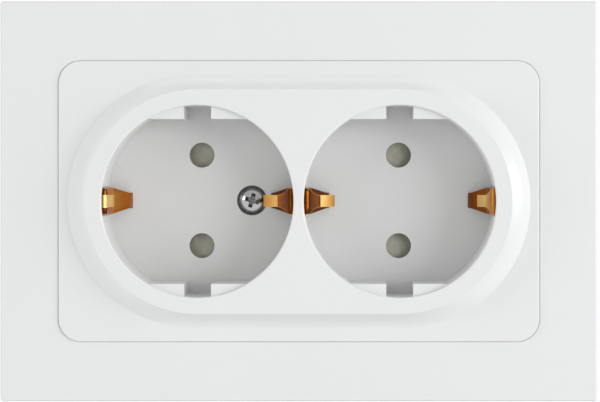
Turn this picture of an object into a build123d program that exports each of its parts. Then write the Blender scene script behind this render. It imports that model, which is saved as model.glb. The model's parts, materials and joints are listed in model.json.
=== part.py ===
from build123d import *
import os

# A flush double socket for one round wall box, as it comes apart on a bench.
# Millimetres, +Z up, the front faces -Y, and the origin is the middle of the wall plane.
# A "height" is a distance out of the wall: height h lies at y = -h, and inside the wall h is negative.

# Outer frame
FRAME_WIDTH = 122.1
FRAME_HEIGHT = 81.8
FRAME_CORNER = 1.4
FRAME_DRAFT = 1.5
FRAME_WALL = 2.0
FRAME_EDGE = 1.0
FRAME_LIP_EDGE = 0.3
RIB_THICKNESS = 1.2
RIB_DEPTH = 8.0
RIB_PITCH = 27.0

# Cover plate and its seam with the frame
COVER_WIDTH = 98.3
COVER_HEIGHT = 57.4
COVER_CORNER = 4.6
COVER_THICKNESS = 2.2
COVER_EDGE = 0.35
COVER_PROUD = 0.4
SEAM_GAP = 0.15
LEDGE_WIDTH = 2.2
LEDGE_THICKNESS = 1.6
SKIRT_THICKNESS = 1.4
SKIRT_DEPTH = 6.0

# Raised rim round the two wells. Its slope starts gently, then steepens, and is longer at the two ends
RIM_RISE = 3.2
RIM_RING = 3.3
RIM_SLOPE = 3.05
RIM_END_SPREAD = 0.85
RIM_FIRST_FALL = 0.35
RIM_SECTIONS = 5
RIM_WALL = 1.8

# Plug wells
WELL_DIAMETER = 39.1
WELL_SPACING = 41.2
WELL_DEPTH = 17.5
WELL_WALL = 1.6
FLOOR_THICKNESS = 2.0
MOUTH_EDGE = 0.35
GUIDE_FLAT = 16.8
GUIDE_SLOT = 5.5
GUIDE_RECESS = 1.2
PIN_SPACING = 19.0
PIN_HOLE = 5.25
PIN_LENGTH = 19.0
PIN_DIAMETER = 4.8

# Cover screw, in the left well beside its inner earth clip
SCREW_OFFSET = 10.5
SCREW_HEAD = 5.9
SCREW_HEAD_HEIGHT = 1.7
SCREW_DOME = 1.02
SCREW_SHANK = 3.4
SCREW_LENGTH = 12.0
SCREW_SINK = 1.0
SCREW_CLEARANCE = 0.2
SCREW_DRIVE = 3.2
SCREW_DRIVE_WIDTH = 0.7
SCREW_DRIVE_DEPTH = 1.1
SCREW_TURN = -17.0
INSERT_DIAMETER = 5.0
INSERT_LENGTH = 7.0
THREAD_CLEARANCE = 0.05

# Earth strip and its four clips, folded from one sheet
EARTH_SHEET = 0.6
STRIP_WIDTH = 6.0
STRIP_CLEARANCE = 0.4
CLIP_WIDTH = 5.6
CLIP_FOOT = 4.6
CLIP_FOOT_WIDTH = 2.7
CLIP_KNEE = 0.9
CLIP_KNEE_RISE = 5.8
CLIP_SEAT = 0.15
CLIP_BEND = 0.36
CLIP_TOP = 2.3
CLIP_FOLD = 0.9
TONGUE_WIDTH = 2.45
TONGUE_KNEE = 4.0
TONGUE_KNEE_SHARE = 0.46
TONGUE_WAIST_BACK = 0.12
TONGUE_WAIST_NARROW = 0.3
TONGUE_DROP = 7.4
TONGUE_CURL = 1.2
LEFT_OUTER_REACH = 1.9
LEFT_INNER_REACH = 6.5
RIGHT_INNER_REACH = 6.3
RIGHT_OUTER_REACH = 3.5
NOTCH_WIDTH = 6.0
NOTCH_DEPTH = 0.6
NOTCH_TOP = 1.4
FOOT_SLOT_CLEARANCE = 0.3
EARTH_TAB_WIDTH = 6.0
EARTH_TAB_PLACE = 4.2

# Steel mounting bracket
BRACKET_MARGIN = 7.0
BRACKET_ROOM = 3.4
BRACKET_CORNER = 7.0
BRACKET_THICKNESS = 1.2
BOX_SCREW_SPACING = 60.0
BOX_SLOT_WIDTH = 4.2
BOX_SLOT_LENGTH = 7.0
RIVET_SHANK = 2.0
RIVET_HEAD = 3.2
RIVET_HEAD_HEIGHT = 0.5
RIVET_X = 15.0

# Contact base behind the bracket
POCKET_WALL = 1.6
BASE_HEIGHT = 29.2
BASE_CORNER = 2.0
FLANGE_MARGIN = 1.5
FLANGE_REACH = 3.6
FLANGE_THICKNESS = 2.2
BODY_HEIGHT = 32.0
BODY_WALL = 0.8
BASE_CLEARANCE = 0.3
SHUTTER_DEPTH = 4.2
DECK_THICKNESS = 1.6
PIN_TIP_ROOM = 0.7
TERMINAL_ROOM = 3.5
CHAMBER_WIDTH = 8.4
CHAMBER_HEIGHT = 7.8
POCKET_CLEARANCE = 0.1
DECK_HOLE = 6.0

# Sliding shutters and their springs
SHUTTER_PAD_WIDTH = 7.0
SHUTTER_PAD_HEIGHT = 7.4
SHUTTER_RAMP = 1.6
SHUTTER_TRAVEL = 6.2
SHUTTER_BAR = 2.6
SHUTTER_GAP = 0.3
SPRING_DIAMETER = 2.4
SPRING_WIRE = 0.35
SPRING_WIRE_SIDES = 6
SPRING_TURNS = 4
SPRING_LENGTH = 7.8

# Line and neutral contact rails
RAIL_SHEET = 0.7
RAIL_END_MARGIN = 0.2
LEAF_WIDTH = 6.0
LEAF_BITE = 0.2
LEAF_FLARE = 0.5
LEAF_END_ROOM = 0.6
LEAF_STRAIGHT_SHARE = 0.2
LEAF_NECK_SHARE = 0.72

# Terminals and rear cover
TERMINAL_SHANK = 2.9
TERMINAL_HEAD = 5.2
TERMINAL_HEAD_HEIGHT = 2.1
TERMINAL_SCREW_LENGTH = 7.0
TERMINAL_SCREW_ROOM = 0.6
TERMINAL_SLOT = 0.8
CLAMP_SIDE = 6.2
CLAMP_THICKNESS = 1.0
REAR_THICKNESS = 2.0
REAR_ACCESS = 6.4
WIRE_HOLE = 3.4
WIRE_OFFSET = 5.6
REAR_PAD = 5.0
REAR_SCREW_HEAD = 4.6
REAR_SCREW_HEAD_HEIGHT = 1.2
REAR_SCREW_SHANK = 2.4
REAR_SCREW_LENGTH = 9.0

# How near an edge must lie to where it is looked for
NEAR = 0.001

# Heights out of the wall that follow from the sizes above
FLOOR_BACK = BRACKET_THICKNESS + STRIP_CLEARANCE + EARTH_SHEET
FLOOR_FRONT = FLOOR_BACK + FLOOR_THICKNESS
FACE = FLOOR_FRONT + WELL_DEPTH
PLATE_FACE = FACE - RIM_RISE
PLATE_BACK = PLATE_FACE - COVER_THICKNESS
FRAME_FRONT = PLATE_FACE - COVER_PROUD
STRIP_BACK = FLOOR_BACK - EARTH_SHEET
POCKET_FLOOR = FLOOR_BACK - SHUTTER_DEPTH
DECK_BACK = POCKET_FLOOR - DECK_THICKNESS
SHELF = FLOOR_FRONT - PIN_LENGTH - PIN_TIP_ROOM
BASE_BACK = SHELF - TERMINAL_ROOM
REAR_BACK = BASE_BACK - REAR_THICKNESS

# Places across the wall that follow from the sizes above
WELL_RADIUS = WELL_DIAMETER / 2
WELL_X = WELL_SPACING / 2
PIN_Z = PIN_SPACING / 2
SCREW_X = SCREW_OFFSET - WELL_X
RIM_RADIUS = WELL_RADIUS + RIM_RING
RIVET_Z = (BODY_HEIGHT + FLANGE_REACH) / 2
BASE_WIDTH = WELL_SPACING + SHUTTER_PAD_WIDTH + 2 * (SHUTTER_GAP + POCKET_WALL)
FLANGE_WIDTH = BASE_WIDTH + 2 * FLANGE_MARGIN
FLANGE_HEIGHT = BODY_HEIGHT + 2 * FLANGE_REACH
BRACKET_WIDTH = BASE_WIDTH + 2 * BRACKET_MARGIN
BRACKET_HEIGHT = FRAME_HEIGHT - 2 * (FRAME_WALL + BRACKET_ROOM)
RAIL_HALF_LENGTH = WELL_X + LEAF_WIDTH / 2 + RAIL_END_MARGIN
CHAMBER_CORNER = Vector(WELL_X + CHAMBER_WIDTH / 2, PIN_Z + CHAMBER_HEIGHT / 2).length
BODY_DIAMETER = 2 * (CHAMBER_CORNER + BODY_WALL)
WELLS = (-WELL_X, WELL_X)
PINS = [(x, z) for x in WELLS for z in (-PIN_Z, PIN_Z)]
BAR_INNER = WELL_X + SHUTTER_PAD_WIDTH / 2 - SHUTTER_BAR
CLIPS = (
    (-WELL_X, -1, LEFT_OUTER_REACH),
    (-WELL_X, 1, LEFT_INNER_REACH),
    (WELL_X, -1, RIGHT_INNER_REACH),
    (WELL_X, 1, RIGHT_OUTER_REACH),
)


def slab(outline, low, high):
    """Extrude an outline, drawn face on, from one height out of the wall to another."""
    return extrude(Plane.XZ.offset(low) * outline, high - low)


def disc(x, z, diameter, low, high):
    """A round bar that stands straight out of the wall."""
    return slab(Pos(x, z) * Circle(diameter / 2), low, high)


def block(x_ends, z_ends, low, high):
    """A straight-sided block between two X, two Z and two heights."""
    middle = Pos(sum(x_ends) / 2, sum(z_ends) / 2)
    return slab(middle * Rectangle(abs(x_ends[1] - x_ends[0]), abs(z_ends[1] - z_ends[0])), low, high)


def sheet_along_z(path, thickness, width):
    """Sheet metal bent along a path in X and height, with its width along Z."""
    return extrude(trace(path, thickness), width / 2, both=True)


def sheet_along_x(path, thickness, width):
    """Sheet metal bent along a path in Z and height, with its width along X."""
    return extrude(Plane.YZ * trace(path, thickness), width / 2, both=True)


def rim():
    """The raised rim: one outline round both wells that grows on its way down to the plate."""
    outlines = []
    for step in range(RIM_SECTIONS):
        out = step / (RIM_SECTIONS - 1)
        fall = RIM_RISE * (RIM_FIRST_FALL * out + (1 - RIM_FIRST_FALL) * out ** 2)
        length = WELL_SPACING + 2 * RIM_END_SPREAD * out
        outline = SlotCenterToCenter(length, 2 * (RIM_RADIUS + RIM_SLOPE * out))
        outlines.append(Plane.XZ.offset(FACE - fall) * outline)
    return loft(outlines)


def seam_outline(gap):
    """The cover's outline, grown outwards by a gap or, where that is negative, shrunk."""
    return RectangleRounded(COVER_WIDTH + 2 * gap, COVER_HEIGHT + 2 * gap, COVER_CORNER + gap)


def edges_at(part, height):
    """The edges of a part that lie wholly at one height out of the wall."""
    return part.edges().filter_by_position(Axis.Y, -height - NEAR, -height + NEAR)


def outer_frame():
    """Moulded frame with a ledge that the cover presses on, and ribs behind its face."""
    front = Plane.XZ.offset(FRAME_FRONT) * RectangleRounded(FRAME_WIDTH, FRAME_HEIGHT, FRAME_CORNER)
    shell = extrude(front, FRAME_FRONT, dir=(0, 1, 0), taper=-FRAME_DRAFT)
    shell = fillet(edges_at(shell, FRAME_FRONT), FRAME_EDGE)
    inner_width = FRAME_WIDTH - 2 * FRAME_WALL
    inner_height = FRAME_HEIGHT - 2 * FRAME_WALL
    shell -= slab(Rectangle(inner_width, inner_height), 0, FRAME_FRONT - FRAME_WALL)
    shell -= slab(seam_outline(SEAM_GAP), 0, FRAME_FRONT)
    lip_reach = COVER_WIDTH / 2 + LEDGE_WIDTH
    lip = edges_at(shell, FRAME_FRONT).filter_by_position(Axis.X, -lip_reach, lip_reach)
    shell = fillet(lip, FRAME_LIP_EDGE)

    ledge_low = PLATE_BACK - LEDGE_THICKNESS
    ledge = slab(seam_outline(SEAM_GAP + LEDGE_WIDTH), ledge_low, PLATE_BACK)
    ledge -= slab(seam_outline(-LEDGE_WIDTH), ledge_low, PLATE_BACK)
    shell += ledge

    rib_top = FRAME_FRONT - FRAME_WALL
    rib_low = rib_top - RIB_DEPTH
    rib_half = RIB_THICKNESS / 2
    for side in (-1, 1):
        z_ends = (side * (COVER_HEIGHT / 2 + SEAM_GAP), side * inner_height / 2)
        for step in (-1, 0, 1):
            middle = step * RIB_PITCH
            shell += block((middle - rib_half, middle + rib_half), z_ends, rib_low, rib_top)
        x_ends = (side * (COVER_WIDTH / 2 + SEAM_GAP), side * inner_width / 2)
        for step in (-0.5, 0.5):
            middle = step * RIB_PITCH
            shell += block(x_ends, (middle - rib_half, middle + rib_half), rib_low, rib_top)
    return shell


def well_room(x):
    """The open space of one plug well, with its guide flats and the slots between them."""
    circle = Pos(x, 0) * Circle(WELL_RADIUS)
    between_flats = circle & (Pos(x, 0) * Rectangle(WELL_DIAMETER, 2 * GUIDE_FLAT))
    guide_slots = circle & (Pos(x, 0) * Rectangle(GUIDE_SLOT, WELL_DIAMETER))
    room = slab(between_flats + guide_slots, FLOOR_FRONT, FACE)
    return room + slab(circle, FACE - GUIDE_RECESS, FACE)


def clip_cuts(x, side):
    """The notch in a well's wall and the slot in its floor that an earth clip needs."""
    wall = x + side * WELL_RADIUS
    half = NOTCH_WIDTH / 2
    notch_ends = (wall - side * CLIP_FOLD, wall + side * NOTCH_DEPTH)
    notch = block(notch_ends, (-half, half), FLOOR_FRONT, FACE - NOTCH_TOP)
    foot = wall - side * CLIP_FOOT
    room = EARTH_SHEET / 2 + FOOT_SLOT_CLEARANCE
    foot_half = CLIP_FOOT_WIDTH / 2 + FOOT_SLOT_CLEARANCE
    return notch + block((foot - room, foot + room), (-foot_half, foot_half), FLOOR_BACK, FLOOR_FRONT)


def cover_plate():
    """Cover moulded in one piece: plate, raised rim, both wells and a locating skirt."""
    plate = slab(seam_outline(0), PLATE_BACK, PLATE_FACE)
    plate = fillet(edges_at(plate, PLATE_FACE), COVER_EDGE)
    cover = plate + rim()

    tubes = Sketch() + [Pos(x, 0) * Circle(WELL_RADIUS + WELL_WALL) for x in WELLS]
    hollow = SlotCenterToCenter(WELL_SPACING, 2 * (RIM_RADIUS - RIM_WALL)) - tubes
    cover -= slab(hollow, PLATE_BACK, FACE - RIM_WALL)
    cover += slab(tubes, FLOOR_BACK, PLATE_FACE)

    skirt_gap = -LEDGE_WIDTH - SEAM_GAP
    skirt = seam_outline(skirt_gap) - seam_outline(skirt_gap - SKIRT_THICKNESS)
    cover += slab(skirt, PLATE_BACK - SKIRT_DEPTH, PLATE_BACK)

    for x in WELLS:
        cover -= well_room(x)
    circles = edges_at(cover, FACE).filter_by(GeomType.CIRCLE)
    mouths = circles.filter_by(lambda edge: abs(edge.radius - WELL_RADIUS) < NEAR)
    cover = fillet(mouths, MOUTH_EDGE)
    for x, side, reach in CLIPS:
        cover -= clip_cuts(x, side)
    for x, z in PINS:
        cover -= disc(x, z, PIN_HOLE, FLOOR_BACK, FLOOR_FRONT)
    sink = SCREW_HEAD + 2 * SCREW_CLEARANCE
    cover -= disc(SCREW_X, 0, sink, FLOOR_FRONT - SCREW_SINK, FLOOR_FRONT)
    cover -= disc(SCREW_X, 0, SCREW_SHANK + 2 * SCREW_CLEARANCE, FLOOR_BACK, FLOOR_FRONT)
    return cover


def cover_screw():
    """Round-headed screw with a cross recess that holds the cover to the base."""
    seat = FLOOR_FRONT - SCREW_SINK
    top = seat + SCREW_HEAD_HEIGHT
    head = disc(SCREW_X, 0, SCREW_HEAD, seat, top)
    head = fillet(edges_at(head, top), SCREW_DOME)
    for width, height in ((SCREW_DRIVE, SCREW_DRIVE_WIDTH), (SCREW_DRIVE_WIDTH, SCREW_DRIVE)):
        blade = Pos(SCREW_X, 0) * Rot(0, 0, SCREW_TURN) * Rectangle(width, height)
        head -= slab(blade, top - SCREW_DRIVE_DEPTH, top)
    return head + disc(SCREW_X, 0, SCREW_SHANK, seat - SCREW_LENGTH, seat)


def cover_screw_insert():
    """Brass bush in the base that takes the cover screw."""
    top = STRIP_BACK - POCKET_CLEARANCE
    bush = disc(SCREW_X, 0, INSERT_DIAMETER, top - INSERT_LENGTH, top)
    return bush - disc(SCREW_X, 0, SCREW_SHANK + 2 * THREAD_CLEARANCE, top - INSERT_LENGTH, top)


def clip(x, side, reach):
    """One earth clip: a leg that leans on the wall, and a sprung tongue folded back into the well."""
    wall = x + side * WELL_RADIUS

    def point(inward, height):
        return (wall - side * inward, -height)

    top = FACE - CLIP_TOP
    middle = point(CLIP_FOLD / 2 - CLIP_SEAT, top)
    leg_path = FilletPolyline(
        point(CLIP_FOOT, FLOOR_BACK - EARTH_SHEET / 2), point(CLIP_FOOT, FLOOR_FRONT + EARTH_SHEET),
        point(CLIP_KNEE, FLOOR_FRONT + CLIP_KNEE_RISE), point(-CLIP_SEAT, top), middle, radius=CLIP_BEND)
    knee = reach * TONGUE_KNEE_SHARE
    tongue_path = FilletPolyline(
        middle, point(CLIP_FOLD - CLIP_SEAT, top), point(knee, top - TONGUE_KNEE),
        point(reach - EARTH_SHEET / 2, top - TONGUE_DROP),
        point(reach - EARTH_SHEET, top - TONGUE_DROP - TONGUE_CURL), radius=CLIP_BEND)

    half = CLIP_WIDTH / 2
    foot_half = CLIP_FOOT_WIDTH / 2
    behind = CLIP_SEAT + EARTH_SHEET
    past_foot = CLIP_FOOT + EARTH_SHEET
    taper_end = CLIP_FOOT - EARTH_SHEET
    leg_outline = Polyline(
        (-behind, half), (CLIP_KNEE, half), (taper_end, foot_half), (past_foot, foot_half),
        (past_foot, -foot_half), (taper_end, -foot_half), (CLIP_KNEE, -half), (-behind, -half), close=True)
    tongue_half = TONGUE_WIDTH / 2
    flare = (CLIP_FOLD / 2, half)
    neck = (knee, tongue_half)
    waist_in = (flare[0] + neck[0]) / 2 - TONGUE_WAIST_BACK
    waist_half = (flare[1] + neck[1]) / 2 - TONGUE_WAIST_NARROW
    upper = ThreePointArc(flare, (waist_in, waist_half), neck)
    lower = ThreePointArc((neck[0], -neck[1]), (waist_in, -waist_half), (flare[0], -flare[1]))
    tip = reach + EARTH_SHEET
    tongue_outline = (
        upper + Polyline(neck, (tip, tongue_half), (tip, -tongue_half), (neck[0], -neck[1]))
        + lower + Polyline((flare[0], -half), (-behind, -half), (-behind, half), flare))

    def trimmed(path, outline):
        face = make_face(outline)
        flip = Rot(0, 0, 180) if side > 0 else Rot(0, 0, 0)
        prism = slab(Pos(wall, 0) * flip * face, STRIP_BACK, FACE)
        return sheet_along_z(path, EARTH_SHEET, CLIP_WIDTH) & prism

    return trimmed(leg_path, leg_outline) + trimmed(tongue_path, tongue_outline)


def earth_strip():
    """Earth strip under both floors, with four clips and a tab back to the earth terminal."""
    end = WELL_X + WELL_RADIUS - CLIP_FOOT + EARTH_SHEET
    strip = block((-end, end), (-STRIP_WIDTH / 2, STRIP_WIDTH / 2), STRIP_BACK, FLOOR_BACK)
    for x, side, reach in CLIPS:
        strip += clip(x, side, reach)
    middle = FLOOR_BACK - EARTH_SHEET / 2
    foot = SHELF - EARTH_SHEET / 2
    tab_path = FilletPolyline(
        (-middle, -STRIP_WIDTH / 4), (-middle, -EARTH_TAB_PLACE), (-foot, -EARTH_TAB_PLACE),
        (-foot, CLAMP_SIDE / 2), radius=EARTH_SHEET)
    strip += sheet_along_x(tab_path, EARTH_SHEET, EARTH_TAB_WIDTH)
    strip -= disc(SCREW_X, 0, SCREW_SHANK + 2 * STRIP_CLEARANCE, STRIP_BACK, FLOOR_BACK)
    return strip - disc(0, 0, TERMINAL_SHANK + 2 * THREAD_CLEARANCE, SHELF - EARTH_SHEET, SHELF)


def mounting_bracket():
    """Pressed steel bracket with slots for the wall box's two screws."""
    plate = RectangleRounded(BRACKET_WIDTH, BRACKET_HEIGHT, BRACKET_CORNER)
    plate -= RectangleRounded(
        BASE_WIDTH + 2 * BASE_CLEARANCE, BASE_HEIGHT + 2 * BASE_CLEARANCE, BASE_CORNER + BASE_CLEARANCE)
    for side in (-1, 1):
        slot = SlotOverall(BOX_SLOT_LENGTH, BOX_SLOT_WIDTH, rotation=90)
        plate -= Pos(0, side * BOX_SCREW_SPACING / 2) * slot
    for x in (-RIVET_X, RIVET_X):
        for z in (-RIVET_Z, RIVET_Z):
            plate -= Pos(x, z) * Circle(RIVET_SHANK / 2 + THREAD_CLEARANCE)
    return slab(plate, 0, BRACKET_THICKNESS)


def bracket_rivets():
    """Four rivets that hold the base's flange to the back of the bracket."""
    rivets = []
    for x in (-RIVET_X, RIVET_X):
        for z in (-RIVET_Z, RIVET_Z):
            rivet = disc(x, z, RIVET_SHANK, -FLANGE_THICKNESS, BRACKET_THICKNESS)
            rivet += disc(x, z, RIVET_HEAD, BRACKET_THICKNESS, BRACKET_THICKNESS + RIVET_HEAD_HEIGHT)
            rivet += disc(x, z, RIVET_HEAD, -FLANGE_THICKNESS - RIVET_HEAD_HEIGHT, -FLANGE_THICKNESS)
            rivets.append(rivet)
    return Compound(children=rivets)


def shutter_pockets(side):
    """Room in the base's front for one shutter, its travel and its spring."""
    outer = side * (WELL_X + SHUTTER_PAD_WIDTH / 2 + SHUTTER_GAP)
    pad_inner = side * (WELL_X - SHUTTER_PAD_WIDTH / 2 - SHUTTER_TRAVEL - SHUTTER_GAP)
    bar_inner = side * (BAR_INNER - SHUTTER_TRAVEL - SHUTTER_GAP)
    spring_seat = side * (BAR_INNER - SPRING_LENGTH)
    pad_low = PIN_Z - SHUTTER_PAD_HEIGHT / 2 - SHUTTER_GAP
    pad_high = PIN_Z + SHUTTER_PAD_HEIGHT / 2 + SHUTTER_GAP
    spring_half = SPRING_DIAMETER / 2 + SHUTTER_GAP
    pockets = block((bar_inner, outer), (-pad_low, pad_low), POCKET_FLOOR, FLOOR_BACK)
    pockets += block((spring_seat, bar_inner), (-spring_half, spring_half), POCKET_FLOOR, FLOOR_BACK)
    for end in (-1, 1):
        pockets += block((pad_inner, outer), (end * pad_low, end * pad_high), POCKET_FLOOR, FLOOR_BACK)
    return pockets


def body_outline(height, diameter):
    """Outline of the part of the base that goes into the round wall box."""
    return Rectangle(FLANGE_WIDTH, height) & Circle(diameter / 2)


def contact_base():
    """Moulded base with shutter pockets in front and contact chambers behind."""
    base = slab(RectangleRounded(BASE_WIDTH, BASE_HEIGHT, BASE_CORNER), 0, FLOOR_BACK)
    base += slab(body_outline(FLANGE_HEIGHT, BODY_DIAMETER), -FLANGE_THICKNESS, 0)
    base += slab(body_outline(BODY_HEIGHT, BODY_DIAMETER), BASE_BACK, -FLANGE_THICKNESS)

    strip_half = STRIP_WIDTH / 2 + SHUTTER_GAP
    base -= block((-BASE_WIDTH / 2, BASE_WIDTH / 2), (-strip_half, strip_half),
                  STRIP_BACK - POCKET_CLEARANCE, FLOOR_BACK)
    tab_half = EARTH_TAB_WIDTH / 2 + SHUTTER_GAP
    tab_low = -EARTH_TAB_PLACE - EARTH_SHEET / 2 - SHUTTER_GAP
    tab_high = -EARTH_TAB_PLACE + 2 * EARTH_SHEET
    base -= block((-tab_half, tab_half), (tab_low, tab_high), SHELF, FLOOR_BACK)
    for side in (-1, 1):
        base -= shutter_pockets(side)

    rail_half = CLAMP_SIDE / 2 + SHUTTER_GAP
    rail_end = RAIL_HALF_LENGTH + SHUTTER_GAP
    for z in (-PIN_Z, PIN_Z):
        base -= block((-rail_end, rail_end), (z - rail_half, z + rail_half), BASE_BACK, SHELF)
    base -= block((-tab_half, tab_half), (tab_low, rail_half), BASE_BACK, SHELF)
    for x, z in PINS:
        base -= block((x - CHAMBER_WIDTH / 2, x + CHAMBER_WIDTH / 2),
                      (z - CHAMBER_HEIGHT / 2, z + CHAMBER_HEIGHT / 2), SHELF, DECK_BACK)
        base -= disc(x, z, DECK_HOLE, DECK_BACK, POCKET_FLOOR)

    screw_room = TERMINAL_SHANK + 2 * TERMINAL_SCREW_ROOM
    for z in (-PIN_Z, 0, PIN_Z):
        base -= disc(0, z, screw_room, SHELF, SHELF + TERMINAL_SCREW_LENGTH)
    base -= disc(SCREW_X, 0, INSERT_DIAMETER, STRIP_BACK - INSERT_LENGTH - POCKET_CLEARANCE, FLOOR_BACK)
    base -= disc(SCREW_X, 0, SCREW_SHANK + 2 * SCREW_CLEARANCE,
                 FLOOR_FRONT - SCREW_SINK - SCREW_LENGTH - POCKET_CLEARANCE, FLOOR_BACK)
    for x in WELLS:
        base -= disc(x, 0, REAR_SCREW_SHANK + 2 * THREAD_CLEARANCE, BASE_BACK,
                     REAR_BACK + REAR_SCREW_LENGTH + POCKET_CLEARANCE)
    for x in (-RIVET_X, RIVET_X):
        for z in (-RIVET_Z, RIVET_Z):
            base -= disc(x, z, RIVET_SHANK + 2 * THREAD_CLEARANCE, -FLANGE_THICKNESS, 0)
    return base


def shutter(side):
    """Sliding shutter: a ramped pad over each pin hole, joined by a bar that the spring pushes on."""
    low = POCKET_FLOOR + POCKET_CLEARANCE
    high = FLOOR_BACK - POCKET_CLEARANCE
    inner = side * (WELL_X - SHUTTER_PAD_WIDTH / 2)
    outer = side * (WELL_X + SHUTTER_PAD_WIDTH / 2)
    ramp_foot = (outer, -high + SHUTTER_RAMP)
    pad_side = Polyline((inner, -low), (inner, -high), ramp_foot, (outer, -low), close=True)
    pad = extrude(make_face(pad_side), SHUTTER_PAD_HEIGHT / 2, both=True)
    bar_top = STRIP_BACK - 2 * POCKET_CLEARANCE
    body = block((side * BAR_INNER, outer), (-PIN_Z, PIN_Z), low, min(bar_top, high - SHUTTER_RAMP))
    for z in (-PIN_Z, PIN_Z):
        body += Pos(0, 0, z) * pad
    return body


def shutter_spring(side):
    """Small coil spring between the base and a shutter's bar."""
    height = (POCKET_FLOOR + STRIP_BACK) / 2
    coil_length = SPRING_LENGTH - SPRING_WIRE - POCKET_CLEARANCE
    start = BAR_INNER - SPRING_LENGTH + (SPRING_WIRE + POCKET_CLEARANCE) / 2
    coil = Helix(coil_length / SPRING_TURNS, coil_length, (SPRING_DIAMETER - SPRING_WIRE) / 2)
    wire = Plane(coil @ 0, z_dir=coil % 0) * RegularPolygon(SPRING_WIRE / 2, SPRING_WIRE_SIDES)
    spring = sweep(wire, path=coil, is_frenet=True)
    return Pos(side * start, -height, 0) * Rot(0, side * 90, 0) * spring


def contact_rail(z):
    """Brass rail that joins the two wells' contacts of one pole, with a pair of leaves at each pin."""
    back = SHELF - RAIL_SHEET
    middle = SHELF - RAIL_SHEET / 2
    half = CLAMP_SIDE / 2
    rail = block((-RAIL_HALF_LENGTH, RAIL_HALF_LENGTH), (z - half, z + half), back, SHELF)
    grip = (PIN_DIAMETER + RAIL_SHEET) / 2 - LEAF_BITE / 2
    root = half - RAIL_SHEET / 2
    tip = DECK_BACK - LEAF_END_ROOM
    neck = SHELF + (tip - SHELF) * LEAF_NECK_SHARE
    straight = SHELF + (tip - SHELF) * LEAF_STRAIGHT_SHARE
    for end in (-1, 1):
        path = Polyline((-middle, z + end * root), (-straight, z + end * root),
                        (-neck, z + end * grip), (-tip, z + end * (grip + LEAF_FLARE)))
        for x in WELLS:
            rail += Pos(x, 0, 0) * sheet_along_x(path, RAIL_SHEET, LEAF_WIDTH)
    return rail - disc(0, z, TERMINAL_SHANK + 2 * THREAD_CLEARANCE, back, SHELF)


def terminal_clamp(z, sheet):
    """Square clamp plate that presses a wire on a rail."""
    front = SHELF - sheet
    back = front - CLAMP_THICKNESS
    plate = slab(Pos(0, z) * RectangleRounded(CLAMP_SIDE, CLAMP_SIDE, CLAMP_THICKNESS / 2), back, front)
    return plate - disc(0, z, TERMINAL_SHANK + 2 * SCREW_CLEARANCE, back, front)


def terminal_screw(z, sheet):
    """Slotted screw that tightens a terminal clamp from behind."""
    seat = SHELF - sheet - CLAMP_THICKNESS
    head_back = seat - TERMINAL_HEAD_HEIGHT
    screw = disc(0, z, TERMINAL_HEAD, head_back, seat)
    screw += disc(0, z, TERMINAL_SHANK, seat, seat + TERMINAL_SCREW_LENGTH)
    slot_half = TERMINAL_SLOT / 2
    return screw - block((-TERMINAL_HEAD, TERMINAL_HEAD), (z - slot_half, z + slot_half),
                         head_back, head_back + TERMINAL_HEAD_HEIGHT / 2)


def rear_cover():
    """Plate over the base's back, with wire holes, screw access and pads that hold the rails."""
    outline = body_outline(BODY_HEIGHT, BODY_DIAMETER)
    for z in (-PIN_Z, 0, PIN_Z):
        outline -= Pos(0, z) * Circle(REAR_ACCESS / 2)
        for x in (-WIRE_OFFSET, WIRE_OFFSET):
            outline -= Pos(x, z) * Circle(WIRE_HOLE / 2)
    for x in WELLS:
        outline -= Pos(x, 0) * Circle(REAR_SCREW_SHANK / 2 + SCREW_CLEARANCE)
    cover = slab(outline, REAR_BACK, BASE_BACK)
    for x in WELLS:
        sink = REAR_SCREW_HEAD + 2 * SCREW_CLEARANCE
        cover -= disc(x, 0, sink, REAR_BACK, REAR_BACK + REAR_SCREW_HEAD_HEIGHT)
    for x, z in PINS:
        cover += slab(Pos(x, z) * Rectangle(REAR_PAD, REAR_PAD), BASE_BACK, SHELF - RAIL_SHEET)
    return cover


def rear_cover_screws():
    """Two screws that hold the rear cover to the base."""
    screws = []
    for x in WELLS:
        head_front = REAR_BACK + REAR_SCREW_HEAD_HEIGHT
        screw = disc(x, 0, REAR_SCREW_HEAD, REAR_BACK, head_front)
        slot_half = TERMINAL_SLOT / 2
        screw -= block((x - REAR_SCREW_HEAD, x + REAR_SCREW_HEAD), (-slot_half, slot_half),
                       REAR_BACK, REAR_BACK + REAR_SCREW_HEAD_HEIGHT / 2)
        screws.append(screw + disc(x, 0, REAR_SCREW_SHANK, head_front, REAR_BACK + REAR_SCREW_LENGTH))
    return Compound(children=screws)


def all_parts():
    """Every piece of the socket by its name."""
    return {
        "outer_frame": outer_frame(),
        "cover_plate": cover_plate(),
        "cover_screw": cover_screw(),
        "cover_screw_insert": cover_screw_insert(),
        "earth_strip": earth_strip(),
        "mounting_bracket": mounting_bracket(),
        "bracket_rivets": bracket_rivets(),
        "contact_base": contact_base(),
        "left_shutter": shutter(-1),
        "right_shutter": shutter(1),
        "left_shutter_spring": shutter_spring(-1),
        "right_shutter_spring": shutter_spring(1),
        "line_rail": contact_rail(PIN_Z),
        "neutral_rail": contact_rail(-PIN_Z),
        "line_clamp": terminal_clamp(PIN_Z, RAIL_SHEET),
        "neutral_clamp": terminal_clamp(-PIN_Z, RAIL_SHEET),
        "earth_clamp": terminal_clamp(0, EARTH_SHEET),
        "line_terminal_screw": terminal_screw(PIN_Z, RAIL_SHEET),
        "neutral_terminal_screw": terminal_screw(-PIN_Z, RAIL_SHEET),
        "earth_terminal_screw": terminal_screw(0, EARTH_SHEET),
        "rear_cover": rear_cover(),
        "rear_cover_screws": rear_cover_screws(),
    }


os.makedirs("parts", exist_ok=True)
for name, part in all_parts().items():
    export_step(part, os.path.join("parts", name + ".step"))
    print(name, len(part.solids()), "solid(s),", round(part.volume, 1), "mm3")
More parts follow.
